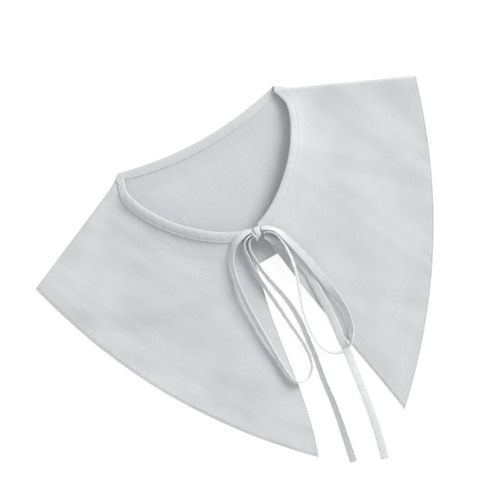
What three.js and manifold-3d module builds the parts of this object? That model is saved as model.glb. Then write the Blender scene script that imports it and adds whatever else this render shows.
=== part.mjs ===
// A detachable cotton collar lying flat, folded at both shoulders, with its narrow ties in a bow.
// Millimetres, +Z up. +X runs across the shoulders and the two long front points face -Y.
// Plan sizes are measured from the line through the two shoulder corners and from the middle of the neck.
import * as THREE from "three";
import { mergeVertices } from "three/addons/utils/BufferGeometryUtils.js";
import Module from "manifold-3d";

const wasm = await Module();
wasm.setup();

// Cloth, tape and the clearance between pieces that touch
const clothThickness = 1.2;
const tapeThickness = 1;
const tapeWidth = 8;
const seatGap = 0.3;

// Neck edge of the body
const neckHalfWidth = 87;
const neckWidestY = 39.3;
const neckDrop = 87.8;
const neckPower = 1.5;
const frontSplitX = 3;
const frontEndGap = 7;
const shoulderNeckY = 54.8;
const backNeckY = 48.2;
const backNeckPower = 2.2;

// Outer edge of the body
const cornerHalfSpan = 206;
const backHemDepth = 80.3;
const backHemPower = 3.4;
const frontLength = 268.4;
const leftTipX = 50.4;
const rightTipX = 43;
const hemBulge = 21.8;
const leftFrontBow = 13;
const leftLowerBow = -7;
const rightFrontBow = -4.2;
const rightLowerBow = 0;

// How the cloth lies: rounded shoulder folds, a raised neck and soft swells
const layerGap = 0.6;
const foldReachNeck = 2.2;
const foldReachCorner = 2.5;
const shoulderPuffNeck = 2.3;
const shoulderPuffCorner = 2.2;
const shoulderPuffReach = 22;
const neckLip = 3;
const neckLipReach = 9;
const neckRise = 4;
const neckRiseReach = 26;
const foldFlatShare = 0.2;
const foldFlatReach = 90;
const knotRise = 8;
const knotRiseReach = 105;
const hemStepRun = 20;
const backLip = 5;
const backLipReach = 26;
const backFlatStartX = 35;
const backFlatShare = 0.36;
const swellHeight = 2.4;

// Knot of the bow
const knotWidth = 11.5;
const knotLength = 13.5;
const knotHeight = 10;
const knotDrop = 6.4;
const knotSink = 2;
const knotBandWidth = 5.4;
const knotBandThickness = 2.4;
const knotBandTurn = 24;

// How finely the curved pieces are cut into flat faces
const frontColumns = 15;
const foldColumns = 5;
const backColumns = 12;
const clothRows = 15;
const ribbonSteps = 44;

// Broad soft swells of the front panels. side: -1 left, 1 right. across: share of cornerHalfSpan.
// along: share of frontLength. spread: share of frontLength. rise: share of swellHeight.
const swells = [
  { side: -1, across: 0.44, along: 0.24, spread: 0.1, rise: 0.8 },
  { side: -1, across: 0.3, along: 0.62, spread: 0.13, rise: 1 },
  { side: -1, across: 0.7, along: 0.16, spread: 0.09, rise: 0.5 },
  { side: 1, across: 0.52, along: 0.3, spread: 0.12, rise: 1 },
  { side: 1, across: 0.27, along: 0.66, spread: 0.12, rise: 0.7 },
  { side: 1, across: 0.75, along: 0.2, spread: 0.08, rise: 0.6 },
];

// Routes of the ties, chosen by hand, in millimetres from the same middle as the body.
// x, y, z: middle of the tape, z over the floor. roll: degrees that it leans, right-hand edge up above 0.
// width: share of tapeWidth, less than 1 where the tape is pinched into the knot.
const tieRoute = (rows) => rows.map(([x, y, z, roll, width]) => ({ x, y, z, roll, width }));
const leftLoopRoute = tieRoute([
  [-1.4, -50.2, 21.7, -12, 0.45],
  [-7, -48.6, 22, -18, 0.72],
  [-14.2, -49.4, 22, -30, 1],
  [-22.2, -53, 20.4, -44, 1],
  [-28.4, -59.6, 18.8, -56, 1],
  [-32.4, -66.8, 17.9, -65, 1],
  [-35.1, -75, 17.1, -68, 1],
  [-37.1, -84, 16, -67, 1],
  [-38.5, -95, 14.6, -65, 1],
  [-39.5, -107, 13.2, -62, 1],
  [-40, -120, 12.2, -58, 1],
  [-40, -134, 11.6, -61, 1],
  [-39.6, -148, 11, -66, 1],
  [-39.5, -161, 10.4, -67, 1],
  [-39.2, -173, 9.7, -69, 1],
  [-38.4, -182.5, 9.2, -74, 1],
  [-36.8, -190.5, 8.7, -80, 1],
  [-33.2, -196.8, 7.8, -85, 1],
  [-27, -199, 6.7, -90, 1],
  [-19.6, -196.4, 5.8, -97, 1],
  [-14.4, -190.4, 5.4, -102, 1],
  [-11.6, -182.5, 5.1, -106, 1],
  [-10.5, -173, 5, -109, 1],
  [-10.7, -162, 4.9, -111, 1],
  [-11.8, -151, 4.9, -112, 1],
  [-12.9, -140, 5.3, -113, 1],
  [-13.8, -128, 6.5, -114, 1],
  [-15, -115, 9.2, -115, 1],
  [-16, -102, 12.4, -113, 1],
  [-16.8, -90, 14.8, -114, 1],
  [-16.9, -79, 16.4, -113, 1],
  [-16.4, -69, 18, -112, 1],
  [-14.6, -60.8, 19.6, -109, 1],
  [-11.4, -55.6, 21.4, -106, 0.92],
  [-6.4, -53.4, 21.9, -102, 0.72],
  [-1.6, -53.6, 21.6, -98, 0.45],
]);
const leftTailRoute = tieRoute([
  [-1.4, -56.8, 19, -78, 0.4],
  [-4, -57, 19.3, -80, 0.65],
  [-7.4, -59, 19.4, -80, 0.85],
  [-10.2, -63.6, 18.9, -78, 0.95],
  [-11.2, -70.6, 17.6, -76, 1],
  [-11.5, -78, 16.3, -74, 1],
  [-11.3, -85.5, 14.8, -71, 1],
  [-10.5, -92.5, 13, -67, 1],
  [-9, -100.5, 11, -63, 1],
  [-7.2, -109, 9, -60, 1],
  [-5.2, -118, 7.2, -58, 1],
  [-3.8, -127, 5.9, -56, 1],
  [-3.1, -137, 4.9, -54, 1],
  [-3.1, -148, 4.3, -53, 1],
  [-4.2, -159, 4, -53, 1],
  [-5.6, -172, 3.9, -53, 1],
  [-6.9, -184, 3.9, -53, 1],
  [-9.2, -197, 3.8, -52, 1],
  [-11.3, -211, 3.5, -46, 1],
  [-13.2, -229, 3.3, -40, 1],
  [-15.8, -245, 3, -34, 1],
  [-18.6, -260, 2.4, -24, 1],
  [-21.4, -275, 1.6, -12, 1],
  [-24.1, -288.6, 1.15, -5, 1],
]);
const rightLoopRoute = tieRoute([
  [7.4, -56.2, 19.7, 44, 0.45],
  [10.8, -56.6, 20, 72, 0.75],
  [14.4, -59.2, 19.7, 84, 0.95],
  [17, -63, 18.9, 86, 1],
  [18.8, -68.8, 18.2, 85, 1],
  [19.8, -75.2, 17.5, 82, 1],
  [20, -81.8, 17, 76, 1],
  [19.5, -88.6, 16.3, 73, 1],
  [18.6, -95.2, 15.4, 72, 1],
  [17.3, -101.8, 14, 73, 1],
  [15.5, -108.3, 12.7, 75, 1],
  [13.4, -114.8, 11.3, 79, 1],
  [11.2, -121, 9.6, 82, 1],
  [8.7, -128.5, 7.8, 83, 1],
  [6, -137.5, 6.2, 83, 1],
  [4, -147, 5.3, 83, 1],
  [2.7, -157.5, 4.9, 83, 1],
  [2.3, -168, 4.8, 83, 1],
  [3.6, -177.5, 4.9, 84, 1],
  [6.8, -184.4, 5.4, 85, 1],
  [11.4, -188.9, 7.2, 86, 1],
  [17, -191.4, 9, 87, 1],
  [22.8, -191.1, 9.8, 86, 1],
  [28.4, -188.6, 9.7, 84, 1],
  [32.6, -184.2, 9.3, 78, 1],
  [35.8, -177.6, 8.9, 60, 1],
  [37.6, -169.8, 8.5, 42, 1],
  [38.7, -161, 8.9, 44, 1],
  [39.2, -151, 9.4, 54, 1],
  [38.7, -141, 9.9, 59, 1],
  [38, -131, 10.3, 60, 1],
  [37, -120.5, 10.9, 62, 1],
  [35.8, -110.5, 11.6, 65, 1],
  [34.2, -100.5, 12.6, 70, 1],
  [32.2, -91, 13.9, 74, 1],
  [30, -83, 15.2, 77, 1],
  [27.8, -76, 16.2, 78, 1],
  [25.2, -69, 17.1, 76, 1],
  [21.8, -62.4, 18.4, 73, 1],
  [17.8, -57.2, 20, 68, 1],
  [12.8, -53.6, 21.4, 44, 0.85],
  [7.2, -51.9, 21.7, 14, 0.45],
]);
const rightTailRoute = tieRoute([
  [6.6, -60, 16.7, 8, 0.5],
  [10.2, -64.4, 15.2, 8, 0.7],
  [13.6, -70.2, 13.8, 6, 0.85],
  [17.4, -79, 12.1, 2, 1],
  [21, -88.5, 10.85, 2, 1],
  [24.2, -99, 9.4, 8, 1],
  [26.2, -110, 9.1, 24, 1],
  [26.4, -122, 8.8, 28, 1],
  [26.1, -134, 8.2, 28, 1],
  [25.9, -146, 7.7, 28, 1],
  [25.3, -157, 8, 34, 1],
  [24.4, -167, 8.2, 38, 1],
  [23.2, -176, 7.7, 36, 1],
  [22.6, -184, 5.2, 24, 1],
  [22.4, -191, 2.7, 14, 1],
  [21.6, -200, 2.2, 14, 1],
  [19.8, -214, 2.1, 15, 1],
  [17.6, -231, 1.9, 13, 1],
  [15.2, -248, 1.6, 9, 1],
  [12.3, -264, 1.25, 4, 1],
  [8.9, -280, 1.05, 2, 1],
  [3.7, -300.4, 0.9, 0, 1],
]);

const halfCloth = clothThickness / 2;
const clamp = THREE.MathUtils.clamp;
const lerp = THREE.MathUtils.lerp;
const smooth = (from, to, value) => THREE.MathUtils.smoothstep(value, from, to);
const bell = (value) => Math.exp(-value * value);

// Roots of the plan outlines. side: -1 left, 1 right.
const tipX = (side) => (side < 0 ? -leftTipX : rightTipX);
const frontBow = (side) => (side < 0 ? leftFrontBow : rightFrontBow);
const lowerBow = (side) => (side < 0 ? leftLowerBow : rightLowerBow);
const frontEndX = (side) => frontSplitX + (side * frontEndGap) / 2;

// Front neck edge. angle: 90 degrees at the bottom of the neck, 0 where it is widest, below 0 above that.
function neckPoint(side, angle) {
  const rise = Math.sign(Math.sin(angle)) * Math.abs(Math.sin(angle)) ** (2 / neckPower);
  const out = Math.abs(Math.cos(angle)) ** (2 / neckPower);
  return new THREE.Vector2(side * neckHalfWidth * out, neckWidestY - neckDrop * rise);
}

// Angles at which the front neck edge starts at the bow and ends at the shoulder fold
function neckAngles(side) {
  const endShare = clamp((side * frontEndX(side)) / neckHalfWidth, -1, 1);
  const bottom = Math.acos(Math.sign(endShare) * Math.abs(endShare) ** (neckPower / 2));
  const top = -Math.asin(((shoulderNeckY - neckWidestY) / neckDrop) ** (neckPower / 2));
  return { bottom, top };
}

// Shoulder line where the cloth starts to turn over. share: 0 at the neck, 1 at the outer corner.
function shoulderBase(side, share) {
  const neck = neckPoint(side, neckAngles(side).top);
  const corner = new THREE.Vector2(side * cornerHalfSpan, 0);
  return neck.lerp(corner, share);
}

// Level direction across the shoulder line, out of the cloth
function shoulderOut(side) {
  const along = shoulderBase(side, 1).sub(shoulderBase(side, 0)).normalize();
  return new THREE.Vector2(-along.y * side, along.x * side);
}

// Back neck edge as a height over the plan's x
function backNeckLine(x) {
  const end = shoulderBase(1, 0);
  return backNeckY + (end.y - backNeckY) * Math.abs(x / end.x) ** backNeckPower;
}

// Back hem as a height over the plan's x
function backHemLine(x) {
  return -backHemDepth * (1 - Math.abs(x / cornerHalfSpan) ** backHemPower);
}

// How far a plan point lies past the back hem, square to it
function pastBackHem(x, y) {
  const share = Math.abs(x / cornerHalfSpan);
  const slope = ((backHemDepth * backHemPower) / cornerHalfSpan) * share ** (backHemPower - 1);
  return (backHemLine(x) - y) / Math.hypot(1, slope);
}

// Rough distance of a plan point from the neck edge, outwards
function fromNeck(x, y) {
  const across = Math.abs(x / neckHalfWidth) ** neckPower;
  const down = Math.abs((y - neckWidestY) / neckDrop) ** neckPower;
  return Math.max(0, (across + down) ** (1 / neckPower) - 1) * neckHalfWidth;
}

// Swell of the front panels at a plan point
function swellAt(x, y) {
  let height = 0;
  for (const swell of swells) {
    const dx = x - swell.side * swell.across * cornerHalfSpan;
    const dy = y + swell.along * frontLength;
    height += swell.rise * swellHeight * bell(Math.hypot(dx, dy) / (swell.spread * frontLength));
  }
  return height;
}

// Height of the middle of the front layer over the floor
function frontHeight(x, y) {
  const side = x < 0 ? -1 : 1;
  const neck = shoulderBase(side, 0);
  const out = shoulderOut(side);
  const along = clamp((Math.abs(x) - Math.abs(neck.x)) / (cornerHalfSpan - Math.abs(neck.x)), 0, 1);
  const inward = Math.max(0, -((x - neck.x) * out.x + (y - neck.y) * out.y));
  const toKnot = Math.hypot(x - frontSplitX, y - (neckWidestY - neckDrop));
  const neckDistance = fromNeck(x, y);
  const overBack = 1 - smooth(0, hemStepRun, pastBackHem(x, y) - clothThickness);
  const puff = lerp(shoulderPuffNeck, shoulderPuffCorner, along) * bell(inward / shoulderPuffReach);
  const lip = neckLip * bell(neckDistance / neckLipReach);
  const rise = neckRise * bell(neckDistance / neckRiseReach);
  const lift = knotRise * bell(toKnot / knotRiseReach);
  const standing = lerp(foldFlatShare, 1, smooth(0, foldFlatReach, inward)) * (lip + rise + lift);
  return halfCloth + (clothThickness + layerGap) * overBack + puff + standing + swellAt(x, y);
}

// Height of the middle of the back layer, flat on the floor but for its neck edge, raised in the middle
function backHeight(x, y) {
  const share = clamp((backNeckLine(x) - y) / backLipReach, 0, 1);
  const standing = lerp(1, backFlatShare, smooth(backFlatStartX, neckHalfWidth, Math.abs(x)));
  return halfCloth + backLip * standing * (1 - share * share) ** 3;
}

// Front panel in plan. s: 0 at the front edge, 1 at the shoulder. t: 0 at the neck, 1 at the hem.
function frontPlan(side, s, t) {
  const angles = neckAngles(side);
  const neck = (share) => neckPoint(side, lerp(angles.bottom, angles.top, share));
  const tip = new THREE.Vector2(tipX(side), -frontLength);
  const corner = shoulderBase(side, 1);
  const hemRun = corner.clone().sub(tip).normalize();
  const hemOut = new THREE.Vector2(side * hemRun.y, -side * hemRun.x);
  const hem = (share) => {
    const bulge = 4 * hemBulge * share * (1 - share);
    return tip.clone().lerp(corner, share).addScaledVector(hemOut, bulge);
  };
  const start = neck(0);
  const sideways = new THREE.Vector2(side, 0);
  const front = (share) => {
    const near = 4 * frontBow(side) * share * (1 - share) ** 2;
    const far = 4 * lowerBow(side) * share ** 2 * (1 - share);
    return start.clone().lerp(tip, share).addScaledVector(sideways, near + far);
  };
  const between = (a, b, share) => a.multiplyScalar(1 - share).add(b.multiplyScalar(share));
  const ruledAcross = between(neck(s), hem(s), t);
  const ruledAlong = between(front(t), shoulderBase(side, t), s);
  const neckRow = between(neck(0), neck(1), s);
  const hemRow = between(hem(0), hem(1), s);
  return ruledAcross.add(ruledAlong).sub(between(neckRow, hemRow, t));
}

// Back panel in plan. s: 0 at the left shoulder, 1 at the right. t: 0 at the neck, 1 at the hem.
function backPlan(s, t) {
  const neckX = lerp(shoulderBase(-1, 0).x, shoulderBase(1, 0).x, s);
  const hemX = lerp(-cornerHalfSpan, cornerHalfSpan, s);
  const x = lerp(neckX, hemX, t);
  return new THREE.Vector2(x, lerp(backNeckLine(neckX), backHemLine(hemX), t));
}

// Shoulder fold. turn: 0 where it leaves the front layer, 1 where it reaches the back layer.
function foldPoint(side, turn, t) {
  const base = shoulderBase(side, t);
  const out = shoulderOut(side);
  const reach = lerp(foldReachNeck, foldReachCorner, t);
  const top = frontHeight(base.x, base.y);
  const bottom = backHeight(base.x, base.y);
  const angle = turn * Math.PI;
  const outward = reach * Math.sin(angle);
  const z = (top + bottom) / 2 + ((top - bottom) / 2) * Math.cos(angle);
  return new THREE.Vector3(base.x + out.x * outward, base.y + out.y * outward, z);
}

// Middle of the whole cloth. strip: 0 to 1 left front, to 2 left fold, to 3 back, to 4 right fold,
// to 5 right front.
function clothPoint(strip, t) {
  if (strip <= 1) return frontPoint(-1, strip, t);
  if (strip <= 2) return foldPoint(-1, strip - 1, t);
  if (strip <= 3) return backPoint(strip - 2, t);
  if (strip <= 4) return foldPoint(1, 4 - strip, t);
  return frontPoint(1, 5 - strip, t);
}

function frontPoint(side, s, t) {
  const plan = frontPlan(side, s, t);
  return new THREE.Vector3(plan.x, plan.y, frontHeight(plan.x, plan.y));
}

function backPoint(s, t) {
  const plan = backPlan(s, t);
  return new THREE.Vector3(plan.x, plan.y, backHeight(plan.x, plan.y));
}

// Directions of the cloth at a point: away from the neck, and square to the cloth on its right side
function clothFrame(strip, t) {
  const step = 0.01;
  const before = clothPoint(Math.max(0, strip - step), t);
  const after = clothPoint(Math.min(5, strip + step), t);
  const nearer = clothPoint(strip, Math.max(0, t - step));
  const farther = clothPoint(strip, Math.min(1, t + step));
  const run = farther.sub(nearer);
  const speed = run.length() / (Math.min(1, t + step) - Math.max(0, t - step));
  const normal = after.sub(before).cross(run).normalize();
  return { away: run.normalize(), normal, speed };
}

// Places of the columns along the strip, finer at the shoulder folds
function columnPlaces() {
  const places = [];
  const counts = [frontColumns, foldColumns, backColumns, foldColumns, frontColumns];
  counts.forEach((count, part) => {
    for (let i = 0; i < count; i++) places.push(part + i / count);
  });
  places.push(counts.length);
  return places;
}

// Rows of the cloth at one place along the strip: the first few lie under the tape
function rowPlaces(strip) {
  const underTape = tapeWidth / clothFrame(strip, 0).speed;
  const places = [0, underTape / 2, underTape];
  const openRows = clothRows - places.length + 1;
  for (let row = 1; row <= openRows; row++) {
    places.push(lerp(underTape, 1, (row / openRows) ** 1.2));
  }
  return places;
}

// A closed solid from rings of points, each joined to the next, with a cap on both ends
function ringSolid(rings, capFaces) {
  const size = rings[0].length;
  const positions = rings.flat().flatMap((point) => point.toArray());
  const faces = [];
  for (let r = 0; r + 1 < rings.length; r++) {
    for (let k = 0; k < size; k++) {
      const a = r * size + k;
      const b = r * size + ((k + 1) % size);
      faces.push(a, b, a + size, b, b + size, a + size);
    }
  }
  const last = (rings.length - 1) * size;
  for (const [a, b, c] of capFaces) {
    faces.push(c, b, a);
    faces.push(last + a, last + b, last + c);
  }
  return closedGeometry(positions, faces);
}

function closedGeometry(positions, faces) {
  const geometry = new THREE.BufferGeometry();
  geometry.setAttribute("position", new THREE.Float32BufferAttribute(positions, 3));
  geometry.setIndex(faces);
  const facing = signedVolume(geometry) < 0 ? faces.slice().reverse() : faces;
  geometry.setIndex(facing);
  geometry.computeVertexNormals();
  return geometry;
}

function signedVolume(geometry) {
  const position = geometry.getAttribute("position");
  const index = geometry.getIndex().array;
  const [a, b, c] = [new THREE.Vector3(), new THREE.Vector3(), new THREE.Vector3()];
  let volume = 0;
  for (let i = 0; i < index.length; i += 3) {
    a.fromBufferAttribute(position, index[i]);
    b.fromBufferAttribute(position, index[i + 1]);
    c.fromBufferAttribute(position, index[i + 2]);
    volume += a.dot(b.cross(c)) / 6;
  }
  return volume;
}

// The one-piece body: every column is a thin closed section from the neck edge to the hem
function makeCollarBody() {
  const rings = columnPlaces().map((strip) => {
    const rightSide = [];
    const wrongSide = [];
    for (const t of rowPlaces(strip)) {
      const middle = clothPoint(strip, t);
      const { normal } = clothFrame(strip, t);
      rightSide.push(middle.clone().addScaledVector(normal, halfCloth));
      wrongSide.push(middle.clone().addScaledVector(normal, -halfCloth));
    }
    return [...rightSide, ...wrongSide.reverse()];
  });
  const caps = [];
  const lastPoint = 2 * clothRows + 1;
  for (let row = 0; row < clothRows; row++) {
    caps.push([row, row + 1, lastPoint - row]);
    caps.push([row + 1, lastPoint - row - 1, lastPoint - row]);
  }
  return ringSolid(rings, caps);
}

// Section of the folded tape that wraps the neck edge, at one place along the strip
function bindingSection(strip) {
  const inner = halfCloth + seatGap;
  const outer = inner + tapeThickness;
  const edgeFrame = clothFrame(strip, 0);
  const stations = rowPlaces(strip)
    .slice(0, 3)
    .map((t) => ({ point: clothPoint(strip, t), normal: clothFrame(strip, t).normal }));
  const offset = (station, height) => station.point.clone().addScaledVector(station.normal, height);
  const beyond = (reach, height) => offset(stations[0], height).addScaledVector(edgeFrame.away, -reach);
  const bulge = seatGap + tapeThickness;
  return [
    offset(stations[2], outer),
    offset(stations[1], outer),
    offset(stations[0], outer),
    beyond(bulge * 0.7, outer * 0.8),
    beyond(bulge, 0),
    beyond(bulge * 0.7, -outer * 0.8),
    offset(stations[0], -outer),
    offset(stations[1], -outer),
    offset(stations[2], -outer),
    offset(stations[2], -inner),
    offset(stations[1], -inner),
    beyond(seatGap, -inner),
    beyond(seatGap, inner),
    offset(stations[1], inner),
    offset(stations[2], inner),
  ];
}

// Faces that close the C-shaped section of the binding
const bindingCaps = [
  [0, 1, 14], [1, 13, 14], [1, 2, 13], [2, 12, 13], [2, 3, 12], [3, 4, 12], [4, 11, 12],
  [4, 5, 11], [5, 6, 11], [6, 10, 11], [6, 7, 10], [7, 9, 10], [7, 8, 9],
];

function makeNeckBinding() {
  return ringSolid(columnPlaces().map(bindingSection), bindingCaps);
}

// A tie: flat tape swept along its route, leaning as the route says
function makeTie(route) {
  const place = (row) => new THREE.Vector3(row.x, row.y, row.z);
  const path = new THREE.CatmullRomCurve3(route.map(place), false, "centripetal");
  const rings = [];
  for (let step = 0; step <= ribbonSteps; step++) {
    const share = path.getUtoTmapping(step / ribbonSteps) * (route.length - 1);
    const row = Math.min(Math.floor(share), route.length - 2);
    const between = smooth(0, 1, share - row);
    const roll = THREE.MathUtils.degToRad(lerp(route[row].roll, route[row + 1].roll, between));
    const halfWidth = (tapeWidth / 2) * lerp(route[row].width, route[row + 1].width, between);
    const tangent = path.getTangentAt(step / ribbonSteps);
    const level = new THREE.Vector3(tangent.y, -tangent.x, 0).normalize();
    const across = level.applyAxisAngle(tangent, -roll);
    const face = new THREE.Vector3().crossVectors(across, tangent).normalize();
    const middle = path.getPointAt(step / ribbonSteps);
    const edge = (reach) => middle.clone().addScaledVector(across, reach * halfWidth);
    const corner = (reach, lift) => edge(reach).addScaledVector(face, (lift * tapeThickness) / 2);
    rings.push([corner(-1, -1), corner(1, -1), corner(1, 1), corner(-1, 1)]);
  }
  return ringSolid(rings, [[0, 1, 2], [0, 2, 3]]);
}

function solidOf(geometry) {
  const bare = geometry.clone();
  bare.deleteAttribute("normal");
  bare.deleteAttribute("uv");
  const merged = mergeVertices(bare, 1e-4);
  const vertProperties = merged.getAttribute("position").array;
  const triVerts = new Uint32Array(merged.index.array);
  return new wasm.Manifold(new wasm.Mesh({ numProp: 3, vertProperties, triVerts }));
}

function geometryOf(solid) {
  const mesh = solid.getMesh();
  const geometry = new THREE.BufferGeometry();
  geometry.setAttribute("position", new THREE.Float32BufferAttribute(mesh.vertProperties, 3));
  geometry.setIndex(new THREE.BufferAttribute(mesh.triVerts, 1));
  geometry.computeVertexNormals();
  return geometry;
}

// What a solid needs round it when a neighbour keeps seatGap clear of it, inside a zone
function withClearance(solid, zone) {
  const near = solid.intersect(zone);
  const shifts = [[1, 0, 0], [-1, 0, 0], [0, 1, 0], [0, -1, 0], [0, 0, 1], [0, 0, -1]];
  return shifts
    .map((shift) => near.translate(shift.map((share) => share * seatGap)))
    .reduce((sum, moved) => sum.add(moved), near);
}

// The knot: a small pinched lump with a band of tape round it, hollowed where the ties and neck run in
function makeBowKnot(neighbours) {
  const y = neckWidestY - neckDrop - knotDrop;
  const z = frontHeight(frontSplitX, y) + halfCloth + knotHeight / 2 - knotSink;
  const lump = new THREE.SphereGeometry(0.5, 16, 10);
  lump.scale(knotWidth, knotLength, knotHeight);
  const bandTube = knotBandThickness / 2;
  const band = new THREE.TorusGeometry(knotLength / 2 - bandTube / 2, bandTube, 8, 20);
  band.rotateY(Math.PI / 2);
  band.scale(knotBandWidth / knotBandThickness, 1, knotHeight / knotLength);
  band.rotateZ(THREE.MathUtils.degToRad(knotBandTurn));
  const zoneSize = 2 * Math.max(knotWidth, knotLength, knotHeight);
  const zone = solidOf(new THREE.BoxGeometry(zoneSize, zoneSize, zoneSize)).translate([frontSplitX, y, z]);
  let knot = solidOf(lump).add(solidOf(band)).translate([frontSplitX, y, z]);
  for (const neighbour of neighbours) {
    knot = knot.subtract(withClearance(solidOf(neighbour), zone));
  }
  const pieces = knot.decompose().sort((a, b) => b.volume() - a.volume());
  return geometryOf(pieces[0]);
}

const cotton = (color) => new THREE.MeshStandardMaterial({ color, roughness: 0.9, metalness: 0 });
const bodyWhite = 0xe6e7ea;
const tapeWhite = 0xeeeff1;

const collarBody = makeCollarBody();
const neckBinding = makeNeckBinding();
const ties = {
  bow_loop_left: makeTie(leftLoopRoute),
  bow_loop_right: makeTie(rightLoopRoute),
  tie_tail_left: makeTie(leftTailRoute),
  tie_tail_right: makeTie(rightTailRoute),
};
const bowKnot = makeBowKnot([collarBody, neckBinding, ...Object.values(ties)]);

const group = new THREE.Group();
function addMesh(name, geometry, color) {
  const mesh = new THREE.Mesh(geometry, cotton(color));
  mesh.name = name;
  group.add(mesh);
  return mesh;
}

const wornPieces = [
  addMesh("collar_body", collarBody, bodyWhite),
  addMesh("neck_binding", neckBinding, tapeWhite),
  addMesh("bow_knot", bowKnot, tapeWhite),
];
for (const [name, geometry] of Object.entries(ties)) addMesh(name, geometry, tapeWhite);

// The origin stands on the floor under the middle of the collar itself, the free ties left out
const bounds = new THREE.Box3();
for (const piece of wornPieces) bounds.expandByObject(piece);
const middle = bounds.getCenter(new THREE.Vector3());
group.position.set(-middle.x, -middle.y, -bounds.min.z);

export default group;
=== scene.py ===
import math
import bmesh
import bpy
import numpy as np
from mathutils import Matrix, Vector


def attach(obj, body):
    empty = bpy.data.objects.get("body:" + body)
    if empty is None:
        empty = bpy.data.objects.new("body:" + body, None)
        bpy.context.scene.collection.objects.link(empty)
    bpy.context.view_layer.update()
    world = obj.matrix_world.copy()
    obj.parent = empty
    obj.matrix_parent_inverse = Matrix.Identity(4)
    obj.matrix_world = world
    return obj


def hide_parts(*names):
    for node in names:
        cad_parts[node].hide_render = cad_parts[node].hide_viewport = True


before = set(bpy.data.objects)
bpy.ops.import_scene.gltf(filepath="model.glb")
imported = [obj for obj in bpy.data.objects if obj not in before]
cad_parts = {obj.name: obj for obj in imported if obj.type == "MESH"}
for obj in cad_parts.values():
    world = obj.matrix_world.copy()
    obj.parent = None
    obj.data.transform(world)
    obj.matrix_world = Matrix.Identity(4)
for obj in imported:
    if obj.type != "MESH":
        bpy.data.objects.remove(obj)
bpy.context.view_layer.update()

# Everything is in metres. Plan places are measured from the middle of the neck, on the line
# through the shoulder corners, and planShift moves them to the row frame.
planShift = 0.105005
# Where tape, thread and cloth start on the flat cut, clear of the weave's zero lines
flatStart = {"tape": 0.02, "thread": 0.01, "cloth": 0.5}


def smoothStep(low, high, value):
    share = np.clip((value - low) / (high - low), 0, 1)
    return share * share * (3 - 2 * share)


def bell(value):
    return np.exp(-value * value)


def lerp(low, high, share):
    return low + (high - low) * share


def unit(vectors):
    return vectors / np.maximum(np.linalg.norm(vectors, axis=-1, keepdims=True), 1e-12)


def toRow(points):
    moved = np.array(points, float)
    moved[..., 1] += planShift
    return moved


# Distance run along lines of points, each from its own first point
def runAlong(points, axis=0):
    steps = np.linalg.norm(np.diff(points, axis=axis), axis=-1)
    return np.concatenate([np.zeros_like(steps.take([0], axis)), steps.cumsum(axis)], axis)


def rowsAt(places, run, rows):
    return np.stack([np.interp(places, run, column) for column in rows.T], 1)


# Faces of a tube made of rings of the same size, closed at both ends
def tubeFaces(rings, size, first=0):
    faces = []
    for ring in range(rings - 1):
        near = first + ring * size
        far = near + size
        for k in range(size):
            n = (k + 1) % size
            faces.append((near + k, near + n, far + n, far + k))
    last = first + (rings - 1) * size
    faces.append(tuple(first + k for k in range(size)))
    faces.append(tuple(last + k for k in reversed(range(size))))
    return faces


def joinParts(parts):
    points, faces, flat = [], [], []
    for somePoints, someFaces, someFlat in parts:
        first = len(points)
        points.extend(somePoints)
        faces.extend(tuple(first + i for i in face) for face in someFaces)
        flat.extend(someFlat)
    return points, faces, flat


# flat says where each point lies on the flat cut, for the weave and the stitching
def makePiece(name, points, faces, material, flat):
    mesh = bpy.data.meshes.new(name)
    mesh.from_pydata(np.asarray(points, float).tolist(), [], faces)
    layer = mesh.uv_layers.new(name="flatCloth")
    corner = np.empty(len(mesh.loops), int)
    mesh.loops.foreach_get("vertex_index", corner)
    layer.uv.foreach_set("vector", np.asarray(flat, np.float32)[corner].ravel())
    shell = bmesh.new()
    shell.from_mesh(mesh)
    bmesh.ops.recalc_face_normals(shell, faces=shell.faces)
    shell.to_mesh(mesh)
    shell.free()
    mesh.polygons.foreach_set("use_smooth", [True] * len(mesh.polygons))
    mesh.materials.append(material)
    piece = bpy.data.objects.new(name, mesh)
    bpy.context.scene.collection.objects.link(piece)
    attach(piece, "root")
    return piece


camera = {
    "height": 4.0,
    "centre": (-0.0115, 0.0402),
    "across": 0.475,  # width of the view at the cloth
    "clothHeight": 0.004,
    "turn": -29.3,
    "filmWidth": 36,
    "clip": (0.1, 50),
}


def makeCamera():
    lens = bpy.data.cameras.new("camera")
    lens.sensor_width = camera["filmWidth"]
    lens.lens = camera["filmWidth"] * (camera["height"] - camera["clothHeight"]) / camera["across"]
    lens.clip_start, lens.clip_end = camera["clip"]
    eye = bpy.data.objects.new("camera", lens)
    eye.location = (*camera["centre"], camera["height"])
    eye.rotation_euler = (0, 0, math.radians(camera["turn"]))
    bpy.context.scene.collection.objects.link(eye)
    bpy.context.scene.camera = eye


studio = {
    "keyFrom": (0.963, 0.271),
    "keyRise": 38,
    "keyStrength": 2.2,
    "keySpread": 30,
    "skyColour": (0.985, 0.99, 1.0),
    "skyStrength": 0.615,
    "floorSize": 8,
    "floorColour": (0.25, 0.25, 0.25),
    "floorGlow": 0.82,
}


def setSockets(node, values):
    for label, value in values.items():
        node.inputs[label].default_value = value


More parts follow.
